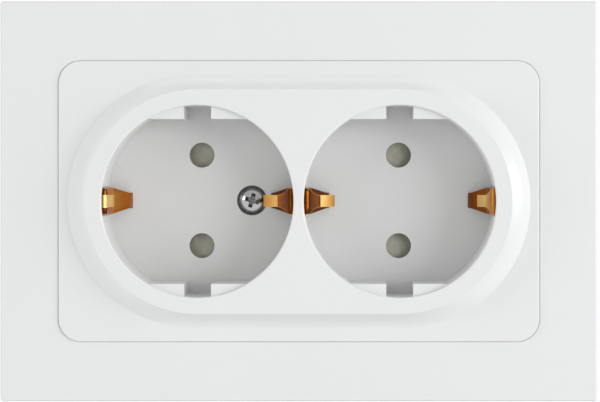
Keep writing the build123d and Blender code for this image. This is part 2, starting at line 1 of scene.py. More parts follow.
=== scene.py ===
# %% [markdown]
# A double wall socket, dressed for the camera.
# The solids were modelled first, at their real size, and they stay the truth about every length.
# Blender adds what the eye needs: soft moulded edges, finishes that catch the light, and the light
# itself. Everything is in metres, with the wall in the plane y = 0 and the front facing -Y.

# %% Load the solids and keep their box
import json
import math

import bmesh
import bpy
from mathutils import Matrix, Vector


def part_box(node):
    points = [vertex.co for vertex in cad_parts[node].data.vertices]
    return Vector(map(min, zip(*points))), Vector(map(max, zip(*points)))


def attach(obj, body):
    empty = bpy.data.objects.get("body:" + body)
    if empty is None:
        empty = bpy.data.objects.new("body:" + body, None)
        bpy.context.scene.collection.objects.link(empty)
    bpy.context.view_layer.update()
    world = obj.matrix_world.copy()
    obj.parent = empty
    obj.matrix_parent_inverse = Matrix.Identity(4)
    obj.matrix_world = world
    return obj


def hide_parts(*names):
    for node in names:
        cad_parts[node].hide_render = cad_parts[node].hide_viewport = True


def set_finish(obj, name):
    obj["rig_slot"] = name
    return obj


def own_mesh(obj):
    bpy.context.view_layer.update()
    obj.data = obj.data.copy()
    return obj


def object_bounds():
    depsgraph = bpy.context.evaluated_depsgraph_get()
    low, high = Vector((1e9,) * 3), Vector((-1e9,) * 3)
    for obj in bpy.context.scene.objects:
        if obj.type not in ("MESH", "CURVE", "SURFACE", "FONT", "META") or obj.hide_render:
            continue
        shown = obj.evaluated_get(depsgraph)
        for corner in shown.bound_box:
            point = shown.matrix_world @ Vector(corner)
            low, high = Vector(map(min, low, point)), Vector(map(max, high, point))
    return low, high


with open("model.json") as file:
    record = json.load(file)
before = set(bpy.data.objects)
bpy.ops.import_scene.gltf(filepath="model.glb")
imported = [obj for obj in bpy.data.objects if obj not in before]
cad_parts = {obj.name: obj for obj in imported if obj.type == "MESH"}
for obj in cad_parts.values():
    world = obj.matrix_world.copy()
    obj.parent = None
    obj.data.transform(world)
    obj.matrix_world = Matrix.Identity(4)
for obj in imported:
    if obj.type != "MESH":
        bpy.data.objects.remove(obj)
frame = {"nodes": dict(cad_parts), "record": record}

MM = 0.001
cad_low, cad_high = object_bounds()
cad_size = [round((b - a) / MM, 2) for a, b in zip(cad_low, cad_high)]
print("solids:", len(frame["nodes"]), "box in mm:", cad_size)

# %% [markdown]
# The camera.
# The photograph was taken straight on from about half a metre, a little right of the middle and a
# little above it, because the inner walls of the wells show more on the left and at the bottom. The
# camera could be turned to look at the middle, but then the frame's edges would no longer be square. So
# it looks straight at the wall, and the lens is shifted, as on a technical camera.

# %% Camera
FOCAL_PX = 2660.0
PHOTO_WIDTH = 600.0
PHOTO_HEIGHT = 402.0
EYE = (11.0 * MM, -562.0 * MM, 7.0 * MM)
EYE_PIXEL = (352.7, 167.0)

camera_data = bpy.data.cameras.new("photo_camera")
camera_data.sensor_width = 36.0
camera_data.lens = FOCAL_PX / PHOTO_WIDTH * camera_data.sensor_width
camera_data.shift_x = (PHOTO_WIDTH / 2 - EYE_PIXEL[0]) / PHOTO_WIDTH
camera_data.shift_y = (EYE_PIXEL[1] - PHOTO_HEIGHT / 2) / PHOTO_WIDTH
camera_data.clip_start = 0.01
camera = bpy.data.objects.new("photo_camera", camera_data)
bpy.context.scene.collection.objects.link(camera)
camera.location = EYE
camera.rotation_euler = (math.pi / 2, 0, 0)
bpy.context.scene.camera = camera
shift = [round(camera_data.shift_x, 3), round(camera_data.shift_y, 3)]
print("lens", round(camera_data.lens, 1), "mm, shift", shift)

# %% [markdown]
# Helpers for modelling by hand.
# An operator works on whatever is selected, and the loaded solids start out selected, so each step
# first lets go of everything. Pieces are drawn lying on their backs, with x and y as on a drawing of
# the front and z as the height out of the wall, and are stood up against the wall at the end.

# %% Selecting
SAME = 0.01


def let_go():
    """Leave edit mode with nothing selected."""
    if bpy.context.mode != "OBJECT":
        bpy.ops.object.mode_set(mode="OBJECT")
    bpy.ops.object.select_all(action="DESELECT")


def hold(piece):
    """Make one piece the only selected and active one."""
    let_go()
    piece.select_set(True)
    bpy.context.view_layer.objects.active = piece


def settle(name):
    """Name the primitive just added and put its place and size into its mesh."""
    piece = bpy.context.object
    piece.name = name
    bpy.ops.object.transform_apply(location=True, rotation=True, scale=True)
    return piece


def pick(piece, kind, test):
    """In edit mode, select the parts whose corners all pass a test of x, y and height in mm."""
    bpy.ops.mesh.select_mode(type=kind)
    bpy.ops.mesh.select_all(action="DESELECT")
    shape = bmesh.from_edit_mesh(piece.data)
    found = 0
    for part in {"VERT": shape.verts, "EDGE": shape.edges, "FACE": shape.faces}[kind]:
        corners = [part] if kind == "VERT" else part.verts
        if all(test(*(c / MM for c in v.co)) for v in corners):
            part.select_set(True)
            found += 1
    bmesh.update_edit_mesh(piece.data)
    return found


def edit(piece):
    """Open one piece in edit mode."""
    hold(piece)
    bpy.ops.object.mode_set(mode="EDIT")


def near(a, b):
    """Are two lengths in mm the same, to a hundredth?"""
    return abs(a - b) < SAME


print("helpers for selecting ready")

# %% Changing and finishing a piece
MERGE = 0.002


def apply(piece, kind, **settings):
    """Add a modifier, set it and apply it."""
    hold(piece)
    modifier = piece.modifiers.new(kind.lower(), kind)
    for key, value in settings.items():
        setattr(modifier, key, value)
    bpy.ops.object.modifier_apply(modifier=modifier.name)


def combine(piece, tool, how):
    """Add a tool shape to a piece, or cut it away, and throw the tool away."""
    apply(piece, "BOOLEAN", operation=how, object=tool, solver="EXACT")
    bpy.data.meshes.remove(tool.data)


def outward(piece):
    """Merge doubles and turn every face outwards."""
    edit(piece)
    bpy.ops.mesh.select_all(action="SELECT")
    bpy.ops.mesh.remove_doubles(threshold=MERGE * MM)
    bpy.ops.mesh.normals_make_consistent(inside=False)
    let_go()


def smooth(piece, degrees):
    """Shade smooth across soft edges, and let the large flat faces lead the shading."""
    hold(piece)
    bpy.ops.object.shade_smooth_by_angle(angle=math.radians(degrees))
    apply(piece, "WEIGHTED_NORMAL", mode="FACE_AREA", weight=80, keep_sharp=True)


def stand_up(piece, body, slot, *nodes):
    """Turn a lying piece up against the wall and let it ride on its body in place of its solids."""
    hold(piece)
    piece.rotation_euler = (math.pi / 2, 0, 0)
    bpy.ops.object.transform_apply(location=True, rotation=True, scale=True)
    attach(piece, body)
    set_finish(piece, slot)
    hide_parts(*nodes)
    shape = bmesh.new()
    shape.from_mesh(piece.data)
    loose = sum(len(e.link_faces) != 2 for e in shape.edges)
    shape.free()
    size = [round(d / MM, 2) for d in piece.dimensions]
    print(piece.name, size, "mm,", len(piece.data.polygons), "faces,", loose, "open edges")


print("helpers for finishing ready")

# %% [markdown]
# Rounded plates.
# The frame, its opening, the cover and the cover's skirt are all rectangles with round corners. A
# rounded plate could be drawn as a curve, but bevelling the four corners of a plane is quicker, and the
# extruded plane is then a closed block that can be cut and joined.

# %% Blocks and bars
def rounded_block(name, width, height, corner, low, high, segments=10):
    """A block with round upright edges between two heights, all in mm."""
    let_go()
    bpy.ops.mesh.primitive_plane_add(size=1)
    plate = bpy.context.object
    plate.scale = (width * MM, height * MM, 1)
    plate.location = (0, 0, low * MM)
    plate = settle(name)
    edit(plate)
    bpy.ops.mesh.select_all(action="SELECT")
    if corner:
        bpy.ops.mesh.bevel(offset=corner * MM, segments=segments, affect="VERTICES")
    bpy.ops.mesh.select_all(action="SELECT")
    bpy.ops.mesh.extrude_region_move(TRANSFORM_OT_translate={"value": (0, 0, (high - low) * MM)})
    let_go()
    outward(plate)
    return plate


def round_bar(name, x, y, diameter, low, high, sides=48):
    """A round bar that stands up between two heights, in mm."""
    let_go()
    bpy.ops.mesh.primitive_cylinder_add(
        vertices=sides, radius=diameter / 2 * MM, depth=(high - low) * MM,
        location=(x * MM, y * MM, (low + high) / 2 * MM))
    return settle(name)


def box_block(name, x_ends, y_ends, low, high):
    """A square-edged block, in mm."""
    block = rounded_block(name, abs(x_ends[1] - x_ends[0]), abs(y_ends[1] - y_ends[0]), 0, low, high)
    hold(block)
    block.location = (sum(x_ends) / 2 * MM, sum(y_ends) / 2 * MM, 0)
    return settle(name)


print("blocks and bars ready")

# %% [markdown]
# The outer frame.
# On the real socket this is one white moulding: a flat face, sides that widen a little towards the wall
# so that it leaves its mould, a small soft edge all round, and a hollow back with thin ribs. The block
# is extruded with that draft, its front edge is bevelled, and then the hollow and the opening are cut.

# %% Frame block with draft and a soft edge
FRAME_SIZE = (122.1, 81.8)
FRAME_FRONT = 18.1
FRAME_DRAFT = math.radians(1.5)
FRAME_CORNER = 0.7
FRAME_EDGE = 0.45

outer = rounded_block("frame_moulding", *FRAME_SIZE, FRAME_CORNER, 0, FRAME_FRONT, segments=6)
edit(outer)
pick(outer, "FACE", lambda x, y, h: near(h, 0))
spread = 2 * FRAME_FRONT * math.tan(FRAME_DRAFT)
bpy.ops.transform.resize(
    value=((FRAME_SIZE[0] + spread) / FRAME_SIZE[0], (FRAME_SIZE[1] + spread) / FRAME_SIZE[1], 1),
    center_override=(0, 0, 0))
pick(outer, "EDGE", lambda x, y, h: near(h, FRAME_FRONT))
bpy.ops.mesh.bevel(offset=FRAME_EDGE * MM, segments=6, affect="EDGES")
let_go()
print("frame block,", len(outer.data.polygons), "faces")

# %% Hollow back, ledge and opening
FRAME_WALL = 2.0
HOLLOW_CORNER = 0.6
COVER_SIZE = (98.3, 57.4)
COVER_CORNER = 4.6
PLATE_BACK = 16.3
LEDGE_GROW = 2.35
LEDGE_HEIGHTS = (14.7, 16.9)
WINDOW_GROW = -2.2
WINDOW_HEIGHTS = (10, 17)
SEAM_SIDE = 0.07
SEAM_END = 0.035
OPENING_TOP = 19
LIP_EDGE = 0.2


def cover_block(name, grow, low, high, segments=10):
    """A block with the cover's outline, grown all round by a given amount, in mm."""
    return rounded_block(
        name, COVER_SIZE[0] + 2 * grow, COVER_SIZE[1] + 2 * grow, COVER_CORNER + grow, low, high, segments)


hollow = rounded_block(
    "hollow", FRAME_SIZE[0] - 2 * FRAME_WALL, FRAME_SIZE[1] - 2 * FRAME_WALL, HOLLOW_CORNER, -1,
    FRAME_FRONT - FRAME_WALL)
combine(outer, hollow, "DIFFERENCE")
combine(outer, cover_block("ledge", LEDGE_GROW, *LEDGE_HEIGHTS), "UNION")
opening = rounded_block(
    "opening", COVER_SIZE[0] + 2 * SEAM_SIDE, COVER_SIZE[1] + 2 * SEAM_END, COVER_CORNER + SEAM_END,
    PLATE_BACK, OPENING_TOP, segments=12)
combine(outer, opening, "DIFFERENCE")
combine(outer, cover_block("window", WINDOW_GROW, *WINDOW_HEIGHTS), "DIFFERENCE")
edit(outer)
lip = pick(outer, "EDGE", lambda x, y, h: (
    near(h, FRAME_FRONT) and abs(x) < COVER_SIZE[0] / 2 + 1 and abs(y) < COVER_SIZE[1] / 2 + 1))
bpy.ops.mesh.bevel(offset=LIP_EDGE * MM, segments=5, affect="EDGES")
let_go()
print("lip edges rounded:", lip)

# %% Ribs behind the face
RIB_HALF = 0.6
RIB_HEIGHTS = (8.1, 16.6)
UPRIGHT_RIBS = (-27, 0, 27)
UPRIGHT_ENDS = (28.9, 39.2)
LEVEL_RIBS = (-13.5, 13.5)
LEVEL_ENDS = (49.35, 59.3)

for side in (-1, 1):
    for x in UPRIGHT_RIBS:
        ends = [side * end for end in UPRIGHT_ENDS]
        combine(outer, box_block("rib", (x - RIB_HALF, x + RIB_HALF), ends, *RIB_HEIGHTS), "UNION")
    for y in LEVEL_RIBS:
        ends = [side * end for end in LEVEL_ENDS]
        combine(outer, box_block("rib", ends, (y - RIB_HALF, y + RIB_HALF), *RIB_HEIGHTS), "UNION")
outward(outer)
smooth(outer, 35)
stand_up(outer, "socket", "white_plastic", "outer_frame")

# %% [markdown]
# The cover.
# Plate, raised rim and both wells come out of one mould, so the light runs over them without a seam.
# The rim leaves the flat face at an edge. At its two ends it starts gently and steepens on its way
# down. Along the top and the bottom it falls at once and runs out softly into the plate. A bevel can't
# give that, so a straight slope is laid on a strip, the strip's ends are spun round the wells, and the
# rings are spread a little, because the slope is longer at the ends. Each corner is then lowered to its
# own height.

# %% Plate with a soft edge
PLATE_FACE = 18.5
PLATE_EDGE = 0.25

cover = cover_block("cover_moulding", 0, PLATE_BACK, PLATE_FACE, segments=12)
edit(cover)
pick(cover, "EDGE", lambda x, y, h: near(h, PLATE_FACE))
bpy.ops.mesh.bevel(offset=PLATE_EDGE * MM, segments=5, affect="EDGES")
let_go()
print("plate,", len(cover.data.polygons), "faces")

# %% Straight slope, spun round the wells and spread
FACE = 21.7
WELL_X = 20.6
RIM_TOP = 22.85
RIM_SLOPE = 3.05
RIM_SPREAD = 0.85
SLOPE_STEPS = 16
SPIN_STEPS = 56


def slope_height(out, first=1.0):
    """Height of the slope in mm at a share of the way out, for a steepness at its start. 1 is straight."""
    return FACE - (FACE - PLATE_FACE) * (first * out + (1 - first) * out ** 2)


let_go()
bpy.ops.mesh.primitive_grid_add(x_subdivisions=1, y_subdivisions=SLOPE_STEPS, size=2)
rim = settle("rim")
for corner in rim.data.vertices:
    out = (corner.co.y + 1) / 2
    x = math.copysign(WELL_X, corner.co.x)
    corner.co = (x * MM, (RIM_TOP + RIM_SLOPE * out) * MM, slope_height(out) * MM)
edit(rim)
for side in (-1, 1):
    pick(rim, "EDGE", lambda x, y, h: near(x, side * WELL_X) and y > 0)
    bpy.ops.mesh.spin(
        steps=SPIN_STEPS, angle=side * math.pi, center=(side * WELL_X * MM, 0, 0), axis=(0, 0, 1))
pick(rim, "EDGE", lambda x, y, h: near(abs(x), WELL_X) and y < 0)
bpy.ops.mesh.bridge_edge_loops()
for step in range(1, SLOPE_STEPS + 1):
    out = step / SLOPE_STEPS
    for side in (-1, 1):
        pick(rim, "VERT", lambda x, y, h: near(h, slope_height(out)) and x * side > 0)
        bpy.ops.transform.translate(value=(side * RIM_SPREAD * out * MM, 0, 0))
let_go()
print("rim", [round(d / MM, 2) for d in rim.dimensions], "mm,", len(rim.data.polygons), "faces")

# %% Each corner lowered to its own height
SIDE_FALL = 1.7
END_FALL = 0.35
END_TURN = (0.1, 0.7)

for corner in rim.data.vertices:
    out = (FACE - corner.co.z / MM) / (FACE - PLATE_FACE)
    beyond = max(0, abs(corner.co.x / MM) - WELL_X - RIM_SPREAD * out)
    turn = beyond / math.hypot(beyond, corner.co.y / MM)
    share = min(1, max(0, (turn - END_TURN[0]) / (END_TURN[1] - END_TURN[0])))
    share = share * share * (3 - 2 * share)
    corner.co.z = slope_height(out, SIDE_FALL + (END_FALL - SIDE_FALL) * share) * MM
print("slope starts with", SIDE_FALL, "times its mean steepness along the sides and", END_FALL, "at the ends")

# %% Rim closed to a block, joined to the plate and hollowed
RIM_SINK = 1.2
RIM_HOLLOW = 42.1
RIM_ROOF = 1.8
TUBE_ROOM = 42.5
ROUND_SIDES = 160

edit(rim)
pick(rim, "EDGE", lambda x, y, h: near(h, FACE))
bpy.ops.mesh.edge_face_add()
pick(rim, "EDGE", lambda x, y, h: near(h, PLATE_FACE))
bpy.ops.mesh.extrude_edges_move(TRANSFORM_OT_translate={"value": (0, 0, -RIM_SINK * MM)})
bpy.ops.mesh.edge_face_add()
let_go()
outward(rim)
combine(cover, rim, "UNION")
hollow = rounded_block(
    "hollow", 2 * WELL_X + RIM_HOLLOW, RIM_HOLLOW, RIM_HOLLOW / 2, PLATE_BACK - 1, FACE - RIM_ROOF,
    segments=40)
for x in (-WELL_X, WELL_X):
    kept = round_bar("tube", x, 0, TUBE_ROOM, PLATE_BACK - 2, FACE, sides=ROUND_SIDES)
    combine(hollow, kept, "DIFFERENCE")
combine(cover, hollow, "DIFFERENCE")
print("cover block,", len(cover.data.polygons), "faces")

# %% [markdown]
# The wells.
# Each well is a round room with a flat floor and a softly rounded mouth. Four guide ledges leave a flat
# and a slot at the top and at the bottom, and they stop just below the mouth. The room is cut with one
# bar that already has the flare of the mouth, and the ledges are slices of a wider bar, so that they
# grow out of the wall with no gap.

# %% Tubes and skirt behind the plate
WELL_RADIUS = 19.55
TUBE_WALL = 1.6
TUBE_SINK = 0.6
FLOOR_BACK = 2.2
SKIRT_GROW = -2.35
SKIRT_WALL = 1.4
SKIRT_HEIGHTS = (10.3, 17)

for x in (-WELL_X, WELL_X):
    tube = round_bar(
        "tube", x, 0, 2 * (WELL_RADIUS + TUBE_WALL), FLOOR_BACK, PLATE_FACE - TUBE_SINK, sides=ROUND_SIDES)
    combine(cover, tube, "UNION")
skirt = cover_block("skirt", SKIRT_GROW, *SKIRT_HEIGHTS)
inside = cover_block("inside", SKIRT_GROW - SKIRT_WALL, SKIRT_HEIGHTS[0] - 1, SKIRT_HEIGHTS[1] + 1)
combine(skirt, inside, "DIFFERENCE")
combine(cover, skirt, "UNION")
print("tubes and skirt added,", len(cover.data.polygons), "faces")

# %% Rooms with rounded mouths
FLOOR = 4.2
MOUTH_EDGE = 0.35
MOUTH_STEPS = 5

for x in (-WELL_X, WELL_X):
    room = round_bar("room", x, 0, 2 * WELL_RADIUS, FLOOR, FACE - MOUTH_EDGE, sides=ROUND_SIDES)
    edit(room)
    pick(room, "FACE", lambda px, py, h: near(h, FACE - MOUTH_EDGE))
    radius, height = WELL_RADIUS, FACE - MOUTH_EDGE
    for step in range(1, MOUTH_STEPS + 1):
        turn = math.pi / 2 * step / MOUTH_STEPS
        new_radius = WELL_RADIUS + MOUTH_EDGE * (1 - math.cos(turn))
        new_height = FACE - MOUTH_EDGE + MOUTH_EDGE * math.sin(turn)
        bpy.ops.mesh.extrude_region_move(TRANSFORM_OT_translate={"value": (0, 0, (new_height - height) * MM)})
        grow = new_radius / radius
        bpy.ops.transform.resize(value=(grow, grow, 1), center_override=(x * MM, 0, 0))
        radius, height = new_radius, new_height
    bpy.ops.mesh.extrude_region_move(TRANSFORM_OT_translate={"value": (0, 0, MM)})
    let_go()
    combine(cover, room, "DIFFERENCE")
print("rooms cut,", len(cover.data.polygons), "faces")

# %% Guide ledges, sliced from a bar
GUIDE_ROOT = 0.8
GUIDE_SINK = 0.5
GUIDE_DROP = 1.2
GUIDE_FLAT = 16.8
GUIDE_SLOT_HALF = 2.75


def guide_ledge(x, side_x, side_y):
    """The part of a bar beyond a flat and beside a slot, in one corner of a well."""
    ledge = round_bar(
        "guide_ledge", x, 0, 2 * (WELL_RADIUS + GUIDE_ROOT), FLOOR - GUIDE_SINK, FACE - GUIDE_DROP,
        sides=ROUND_SIDES)
    edit(ledge)
    slot_side = ((x + side_x * GUIDE_SLOT_HALF, 0), (side_x, 0))
    flat = ((0, side_y * GUIDE_FLAT), (0, side_y))
    for place, normal in (slot_side, flat):
        bpy.ops.mesh.select_all(action="SELECT")
        bpy.ops.mesh.bisect(
            plane_co=(place[0] * MM, place[1] * MM, 0), plane_no=(*normal, 0),
            use_fill=True, clear_inner=True)
    let_go()
    outward(ledge)
    return ledge


for x in (-WELL_X, WELL_X):
    for side_x in (-1, 1):
        for side_y in (-1, 1):
            combine(cover, guide_ledge(x, side_x, side_y), "UNION")
print("ledges added,", len(cover.data.polygons), "faces")

# %% Pin holes, clip notches, clip slots and screw seat
THROUGH_FLOOR = (1.5, 5)
PIN_Y = 9.5
PIN_HOLE = 5.25
NOTCH_IN = 1.2
NOTCH_OUT = 0.6
NOTCH_HALF = 3
NOTCH_LIFT = 0.05
NOTCH_DROP = 1.4
CLIP_FOOT = 4.6
SLOT_HALF = (0.42, 1.62)
SCREW_X = -10.1
SEAT_DIAMETER = 6.3
SEAT_FLOOR = 3.2
SCREW_HOLE = 3.8

for x in (-WELL_X, WELL_X):
    for y in (-PIN_Y, PIN_Y):
        combine(cover, round_bar("pin_hole", x, y, PIN_HOLE, *THROUGH_FLOOR, sides=64), "DIFFERENCE")
    for side in (-1, 1):
        wall = x + side * WELL_RADIUS
        notch = box_block(
            "notch", (wall - side * NOTCH_IN, wall + side * NOTCH_OUT), (-NOTCH_HALF, NOTCH_HALF),
            FLOOR + NOTCH_LIFT, FACE - NOTCH_DROP)
        combine(cover, notch, "DIFFERENCE")
        foot = wall - side * CLIP_FOOT
        slot = box_block(
            "slot", (foot - SLOT_HALF[0], foot + SLOT_HALF[0]), (-SLOT_HALF[1], SLOT_HALF[1]), *THROUGH_FLOOR)
        combine(cover, slot, "DIFFERENCE")
seat = round_bar("seat", SCREW_X, 0, SEAT_DIAMETER, SEAT_FLOOR, THROUGH_FLOOR[1], sides=64)
combine(cover, seat, "DIFFERENCE")
combine(cover, round_bar("hole", SCREW_X, 0, SCREW_HOLE, *THROUGH_FLOOR), "DIFFERENCE")
print("holes cut,", len(cover.data.polygons), "faces")


# %% Crisp edge round the face
def on_face_edge(x, y, h):
    """Is a point on the edge between the flat face and the rim's slope?"""
    return near(h, FACE) and math.hypot(max(0, abs(x) - WELL_X), y) > RIM_TOP - 0.3


outward(cover)
edit(cover)
pick(cover, "EDGE", on_face_edge)
bpy.ops.mesh.mark_sharp()
let_go()
smooth(cover, 30)
stand_up(cover, "socket", "white_plastic", "cover_plate")

# %% [markdown]
# The cover screw.
# A nickel-plated screw with a domed head and a cross recess. The head is a bevelled bar, and its face
# is inset and raised a little, so that a ring round it leans outwards and shows the light on the left
# as a bright crescent. The recess is cut with two tapered blades, so that its walls slope as those of a
# pressed recess do.

# %% Screw head and shank
HEAD_DIAMETER = 5.9
HEAD_RIM = 4.66
HEAD_EDGE = 0.85
HEAD_RING = 0.6
HEAD_RISE = 0.22
SHANK_DIAMETER = 3.4
SHANK_END = -8.8
SHANK_SINK = 0.4

screw = round_bar("cover_screw_bright", SCREW_X, 0, HEAD_DIAMETER, SEAT_FLOOR, HEAD_RIM, sides=72)
edit(screw)
pick(screw, "EDGE", lambda x, y, h: near(h, HEAD_RIM))
bpy.ops.mesh.bevel(offset=HEAD_EDGE * MM, segments=7, affect="EDGES")
pick(screw, "FACE", lambda x, y, h: near(h, HEAD_RIM))
bpy.ops.mesh.inset(thickness=HEAD_RING * MM, depth=HEAD_RISE * MM)
let_go()
shank = round_bar("shank", SCREW_X, 0, SHANK_DIAMETER, SHANK_END, SEAT_FLOOR + SHANK_SINK, sides=36)
combine(screw, shank, "UNION")
print("screw blank,", len(screw.data.polygons), "faces")

# %% Cross recess with a dimple in the middle
RECESS_FLOOR = 3.7
RECESS_TOP = 5.2
BLADE = (3.4, 0.95)
BLADE_TAPER = 0.5
RECESS_TURN = math.radians(17)
DIMPLE = 1.7
DIMPLE_FLOOR = 3.5
DIMPLE_TAPER = 0.2


def taper(tool, floor_height, share):
    """In edit mode, narrow a tool's lower end about the screw's axis."""
    pick(tool, "FACE", lambda x, y, h: near(h, floor_height))
    bpy.ops.transform.resize(value=(share, share, 1), center_override=(SCREW_X * MM, 0, 0))


for across, along in (BLADE, BLADE[::-1]):
    blade = box_block(
        "blade", (SCREW_X - across / 2, SCREW_X + across / 2), (-along / 2, along / 2),
        RECESS_FLOOR, RECESS_TOP)
    edit(blade)
    taper(blade, RECESS_FLOOR, BLADE_TAPER)
    bpy.ops.mesh.select_all(action="SELECT")
    bpy.ops.transform.rotate(value=RECESS_TURN, orient_axis="Z", center_override=(SCREW_X * MM, 0, 0))
    let_go()
    combine(screw, blade, "DIFFERENCE")
dimple = round_bar("dimple", SCREW_X, 0, DIMPLE, DIMPLE_FLOOR, RECESS_TOP, sides=32)
edit(dimple)
taper(dimple, DIMPLE_FLOOR, DIMPLE_TAPER)
let_go()
combine(screw, dimple, "DIFFERENCE")
outward(screw)
smooth(screw, 32)
stand_up(screw, "socket", "plated_steel", "cover_screw")

# %% [markdown]
# The earth clips.
# All four clips are ears of one brass strip that runs under both floors. Each ear rises through a slot
# in the floor, leans out to the wall, folds over at the top and comes back down as a narrow sprung
# tongue. That is how it is drawn here: one edge is extruded from bend to bend, its width is scaled at
# each stop, the bends are bevelled round, and a thickness is added last.

# %% Stops along a clip
SHEET = 0.6
CLIP_TOP = FACE - 2.3
LEG_KNEE = (0.9, FLOOR + 5.8)
FOLD = (-0.15, 0.75)
KNEE_SHARE = 0.46
KNEE_DROP = 4.0
BAND_DROP = 7.4
TONGUE_DROP = 8.6
FOOT_HALF = 1.5
LEG_HALF = 2.8
ROOT_HALF = 2.75
TONGUE_HALF = 1.225
TIP_HALF = 1.15
BAND_BACK = 0.3
TIP_BACK = 0.6
ROOT_TAPER = ((0.25, 2.15), (0.5, 1.7), (0.75, 1.38), (1.0, TONGUE_HALF))
# For each clip, the middle of its well, its side of the well and how far in its tongue reaches.
CLIP_PLACES = ((-WELL_X, -1, 1.9), (-WELL_X, 1, 6.5), (WELL_X, -1, 6.3), (WELL_X, 1, 3.5))


def clip_stops(reach):
    """Way in from the wall, height and half width at each stop of a clip, from its foot to its tip, in mm."""
    knee = KNEE_SHARE * reach
    stops = [
        (CLIP_FOOT, FLOOR_BACK - SHEET / 2, FOOT_HALF), (CLIP_FOOT, FLOOR + SHEET, FOOT_HALF),
        (*LEG_KNEE, LEG_HALF), (FOLD[0], CLIP_TOP, LEG_HALF), (FOLD[1], CLIP_TOP, ROOT_HALF)]
    for share, half in ROOT_TAPER:
        stops.append((FOLD[1] + (knee - FOLD[1]) * share, CLIP_TOP - KNEE_DROP * share, half))
    stops.append((reach - BAND_BACK, CLIP_TOP - BAND_DROP, TONGUE_HALF))
    stops.append((reach - TIP_BACK, CLIP_TOP - TONGUE_DROP, TIP_HALF))
    return stops


print("stops along each clip:", [len(clip_stops(reach)) for x, side, reach in CLIP_PLACES])

# %% Clips folded from stop to stop
BEND_SIZES = ((1, 0.36), (2, 0.8), (3, 0.38), (4, 0.38), (8, 0.6), (9, 0.4))
RUB_CUT = 1.3
CLIP_EDGE = 0.1
SHEET_ANGLE = math.radians(50)


def break_edges(piece, width):
    """Round the cut edges of a sheet a little."""
    apply(piece, "BEVEL", width=width * MM, segments=2, limit_method="ANGLE", angle_limit=SHEET_ANGLE)


def folded_clip(x, side, reach):
    """A clip at one side of a well, with its tongue reaching a given way in from the wall, in mm."""
    wall = x + side * WELL_RADIUS
    stops = [(wall - side * inward, height, half) for inward, height, half in clip_stops(reach)]
    let_go()
    bpy.ops.mesh.primitive_plane_add(size=2)
    clip = settle("clip")
    for corner in clip.data.vertices:
        px, height, half = stops[0] if corner.co.x < 0 else stops[1]
        corner.co = (px * MM, math.copysign(half, corner.co.y) * MM, height * MM)
    edit(clip)
    pick(clip, "EDGE", lambda cx, cy, h: near(cx, stops[1][0]) and near(h, stops[1][1]))
    for before, after in zip(stops[1:], stops[2:]):
        move = ((after[0] - before[0]) * MM, 0, (after[1] - before[1]) * MM)
        bpy.ops.mesh.extrude_region_move(TRANSFORM_OT_translate={"value": move})
        bpy.ops.transform.resize(value=(1, after[2] / before[2], 1), center_override=(0, 0, 0))
    for bend, size in BEND_SIZES:
        pick(clip, "EDGE", lambda cx, cy, h: near(cx, stops[bend][0]) and near(h, stops[bend][1]))
        bpy.ops.mesh.bevel(offset=size * MM, segments=5, affect="EDGES")
    for side_y in (-1, 1):
        bpy.ops.mesh.select_all(action="SELECT")
        bpy.ops.mesh.bisect(plane_co=(0, side_y * RUB_CUT * MM, 0), plane_no=(0, 1, 0))
    let_go()
    outward(clip)
    apply(clip, "SOLIDIFY", thickness=SHEET * MM, offset=0.0)
    break_edges(clip, CLIP_EDGE)
    return clip


clips = [folded_clip(*place) for place in CLIP_PLACES]
print("clips folded:", len(clips))

# %% Strip under the floors, with its tab back to the terminal
STRIP_END = WELL_X + WELL_RADIUS - CLIP_FOOT + SHEET
STRIP_HALF = 3
STRIP_HOLE = 4.2
STRIP_EDGE = 0.07
TAB_BACK = -4.5
TAB_END = -16.1
SOLE_END = 3.1
SOLE_HOLE = 3.0

across = (-STRIP_HALF, STRIP_HALF)
strip_heights = (FLOOR_BACK - SHEET, FLOOR_BACK)
strip = box_block("earth_strip_folded", (-STRIP_END, STRIP_END), across, *strip_heights)
combine(strip, round_bar("hole", SCREW_X, 0, STRIP_HOLE, 1, 3), "DIFFERENCE")
combine(strip, box_block("tab", across, (TAB_BACK, TAB_BACK + SHEET), TAB_END, FLOOR_BACK), "UNION")
combine(strip, box_block("ear", across, (TAB_BACK + SHEET / 2, -STRIP_HALF + 0.5), *strip_heights), "UNION")
sole = box_block("sole", across, (TAB_BACK, SOLE_END), TAB_END, TAB_END + SHEET)
combine(sole, round_bar("hole", 0, 0, SOLE_HOLE, TAB_END - 1, TAB_END + 1), "DIFFERENCE")
combine(strip, sole, "UNION")
break_edges(strip, STRIP_EDGE)
hold(strip)
for clip in clips:
    clip.select_set(True)
bpy.ops.object.join()
smooth(strip, 40)
stand_up(strip, "socket", "brass", "earth_strip")

# %% [markdown]
# The shutter springs. A small coil of drawn wire pushes each shutter shut; one end sits in the base and the
# other against the shutter. Here each coil is one rigid piece that rides on the socket's body.

# %% One coil, and its copy for the other side
COIL_TURNS = 4
COIL_STEPS = 24
WIRE = 0.35
WIRE_SIDES = 10

